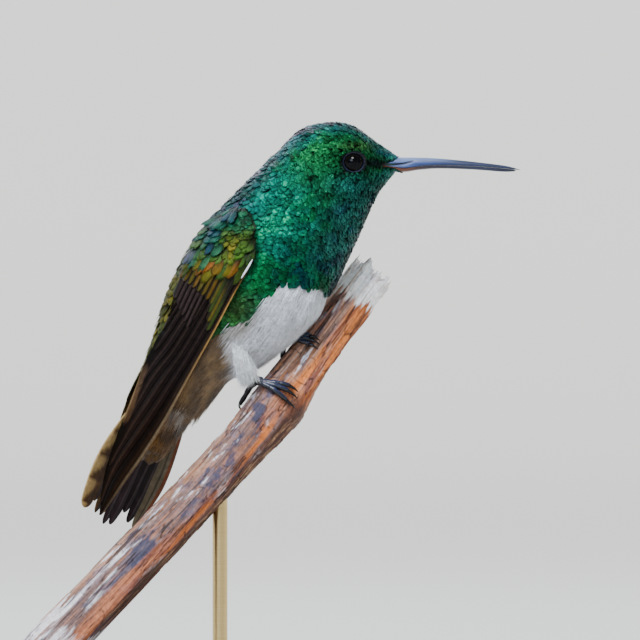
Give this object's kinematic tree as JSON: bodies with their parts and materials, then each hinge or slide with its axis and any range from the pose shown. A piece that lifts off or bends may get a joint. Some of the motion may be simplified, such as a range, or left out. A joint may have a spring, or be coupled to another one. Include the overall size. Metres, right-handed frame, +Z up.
{
  "type": "hummingbird",
  "caption": "Life-size hummingbird perched upright on a sloping cut branch, held over a round base by one thin rod.",
  "frame": {"origin": "centre of the round base's underside", "axes": "+Z up, +X the way the bird faces, -Y towards its right side"},
  "size_m": [0.074, 0.06, 0.089],
  "materials": {
    "plumage_crown": "small glossy green feathers with a purple-grey sheen",
    "plumage_throat": "scale-like glittering blue-green feathers",
    "plumage_breast": "scale-like glittering emerald feathers",
    "plumage_belly": "soft matte white feathers",
    "plumage_coverts": "bronze-green glossy feathers",
    "plumage_flight": "smooth dusky brown flight feathers",
    "plumage_tail": "bronze-brown feathers with buff edges",
    "eye": "polished near-black",
    "bill": "satin blue-black horn",
    "foot": "satin blue-black scales",
    "bark": "weathered red-brown bark with grey patches",
    "stand_wood": "satin dark walnut",
    "stand_metal": "brushed"
  },
  "bodies": {
    "root": {"head": "plumage_crown", "neck": "plumage_throat", "trunk": "plumage_breast", "rump": "plumage_belly", "tail_coverts_under": "plumage_belly", "tail_coverts_upper": "plumage_crown", "thigh_right": "plumage_belly", "thigh_left": "plumage_belly", "wing_right_coverts": "plumage_coverts", "wing_left_coverts": "plumage_coverts", "wing_right_flight": "plumage_flight", "wing_left_flight": "plumage_flight", "tail": "plumage_tail", "eye_right": "eye", "eye_left": "eye", "bill_upper": "bill", "bill_lower": "bill", "foot_right": "foot", "foot_left": "foot", "perch_branch": "bark", "stand_base": "stand_wood", "stand_rod": "stand_metal", "stand_collar": "stand_metal"}
  },
  "joints": []
}
